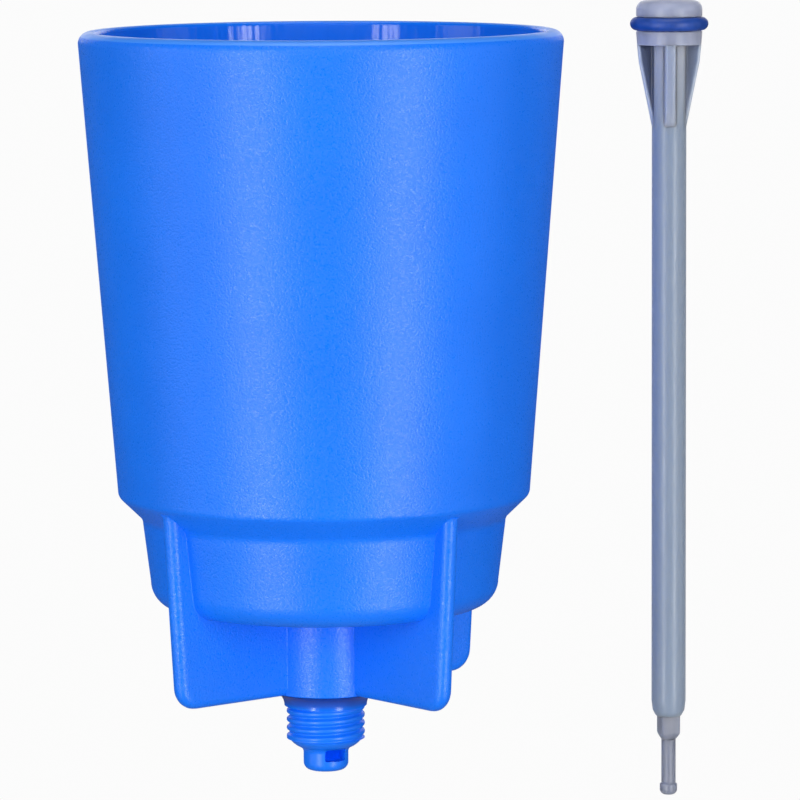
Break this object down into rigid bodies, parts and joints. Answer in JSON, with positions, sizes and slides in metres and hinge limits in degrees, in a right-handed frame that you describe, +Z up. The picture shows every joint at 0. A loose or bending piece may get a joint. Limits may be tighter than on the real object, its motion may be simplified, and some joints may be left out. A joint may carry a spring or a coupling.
{
  "type": "fuel sampler cup",
  "caption": "Stepped, finned plastic cup with a threaded drain spigot and a separate long sealing probe that plugs into its floor to open a fuel drain.",
  "frame": {"origin": "on the cup's axis, in the plane of the boss's underside where the drain spigot starts, level with the bottoms of the fins", "axes": "+Z up the cup's axis towards its mouth, +X from the cup towards the probe that stands beside it, -Y towards the front"},
  "size_m": [0.1038, 0.08, 0.141],
  "materials": {
    "cup_blue": "fine spark-grained blue moulding, glossy inside",
    "probe_natural": "natural translucent bluish grey moulding, satin",
    "seal_blue": "smooth royal blue rubber"
  },
  "bodies": {
    "cup": {"cup_shell": "cup_blue", "fin_rear_right": "cup_blue", "fin_rear_left": "cup_blue", "fin_front_left": "cup_blue", "fin_front_right": "cup_blue", "socket_boss": "cup_blue", "spigot_collar": "cup_blue", "spigot_thread": "cup_blue", "spigot_tip": "cup_blue"},
    "probe": {"probe_head": "probe_natural", "probe_seal": "seal_blue", "probe_webs": "probe_natural", "probe_stem": "probe_natural", "probe_shoulder": "probe_natural", "probe_pin": "probe_natural"}
  },
  "joints": [
    {"name": "probe_turn", "type": "hinge", "parent": "cup", "child": "probe", "pos_m": [0.02867, 0, 0.09], "axis": [0, -1, 0], "range_deg": [0, 180]}
  ]
}
